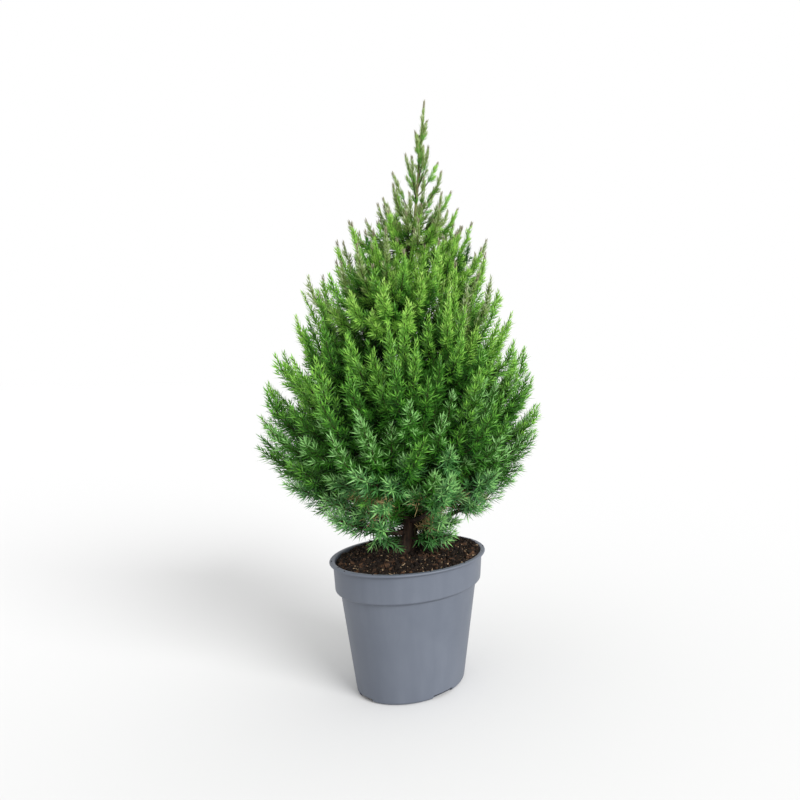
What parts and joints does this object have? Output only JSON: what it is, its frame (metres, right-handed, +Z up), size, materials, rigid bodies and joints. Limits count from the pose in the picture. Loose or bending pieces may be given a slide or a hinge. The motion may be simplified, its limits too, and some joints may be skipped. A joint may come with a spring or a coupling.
{
  "type": "potted chinese juniper",
  "caption": "Young cone-shaped juniper with feathery rising needle sprays, growing in compost in a round tapered plastic nursery pot with a banded rim.",
  "frame": {"origin": "middle of the pot's flat underside", "axes": "+Z up along the pot's axis, -Y towards the viewer of the picture, +X to the viewer's right"},
  "size_m": [0.3437, 0.3429, 0.734],
  "materials": {
    "pot_plastic": "smooth grey-blue moulded plastic",
    "compost": "dark peat compost with bark chips",
    "bark": "rough reddish-brown bark",
    "needles": "fresh green awl-shaped needles"
  },
  "bodies": {
    "root": {"pot": "pot_plastic", "soil": "compost", "trunk": "bark", "bough_03": "bark", "bough_04": "bark", "bough_05": "bark", "bough_06": "bark", "bough_07": "bark", "bough_08": "bark", "bough_09": "bark", "bough_10": "bark", "bough_11": "bark", "bough_12": "bark", "bough_13": "bark", "bough_14": "bark", "bough_15": "bark", "bough_16": "bark", "bough_17": "bark", "bough_18": "bark", "bough_19": "bark", "bough_20": "bark", "bough_21": "bark", "bough_22": "bark", "bough_23": "bark", "bough_24": "bark", "bough_25": "bark", "foliage_01": "needles", "foliage_02": "needles", "foliage_03": "needles", "foliage_04": "needles", "foliage_05": "needles", "foliage_06": "needles", "foliage_07": "needles", "foliage_08": "needles", "foliage_09": "needles", "foliage_10": "needles", "foliage_11": "needles", "foliage_12": "needles", "foliage_13": "needles", "foliage_14": "needles", "foliage_15": "needles", "foliage_16": "needles", "foliage_17": "needles", "foliage_18": "needles", "foliage_19": "needles", "foliage_20": "needles", "foliage_21": "needles", "foliage_22": "needles", "foliage_23": "needles", "foliage_24": "needles", "foliage_25": "needles", "foliage_top": "needles"}
  },
  "joints": []
}
